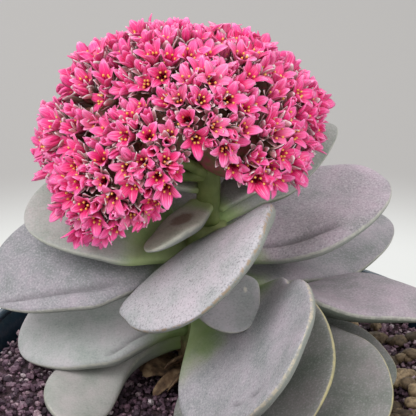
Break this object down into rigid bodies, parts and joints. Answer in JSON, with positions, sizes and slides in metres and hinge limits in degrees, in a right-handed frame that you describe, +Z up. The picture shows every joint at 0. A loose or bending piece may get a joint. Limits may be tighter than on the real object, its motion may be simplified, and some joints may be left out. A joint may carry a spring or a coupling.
{
  "type": "potted crassula",
  "caption": "Felted grey succulent with overlapping paddle leaves under a domed pink flower head, in a tapered round pot of gravelly soil.",
  "frame": {"origin": "middle of the pot's flat base, on the surface that it stands on", "axes": "+Z up the pot's axis, -Y towards the side that the plant shows as its front, +X to its right"},
  "size_m": [0.14, 0.14, 0.1934],
  "materials": {
    "pot": "satin",
    "soil": "matte",
    "stem": "matte",
    "flower_stalk": "matte",
    "leaf": "matte",
    "bract": "matte",
    "flower": "satin"
  },
  "bodies": {
    "root": {"pot": "pot", "soil": "soil", "stem": "stem", "flower_stalk": "flower_stalk", "leaf_left_1": "leaf", "leaf_left_2": "leaf", "leaf_left_3": "leaf", "leaf_left_4": "leaf", "leaf_front_1": "leaf", "leaf_front_2": "leaf", "leaf_front_3": "leaf", "leaf_front_4": "leaf", "leaf_front_5": "leaf", "leaf_front_6": "leaf", "leaf_right_1": "leaf", "leaf_right_2": "leaf", "leaf_right_3": "leaf", "leaf_right_4": "leaf", "leaf_back_1": "leaf", "leaf_back_2": "leaf", "leaf_back_3": "leaf", "leaf_back_4": "leaf", "leaf_back_5": "leaf", "bract_front": "bract", "bract_left": "bract", "bract_right": "bract", "cyme_front_left": "flower", "cyme_left": "flower", "cyme_upper_left": "flower", "cyme_top": "flower", "cyme_front": "flower", "cyme_middle": "flower", "cyme_upper_right": "flower", "cyme_right": "flower", "cyme_front_right": "flower", "cyme_back_left": "flower", "cyme_back": "flower", "cyme_back_right": "flower"}
  },
  "joints": []
}
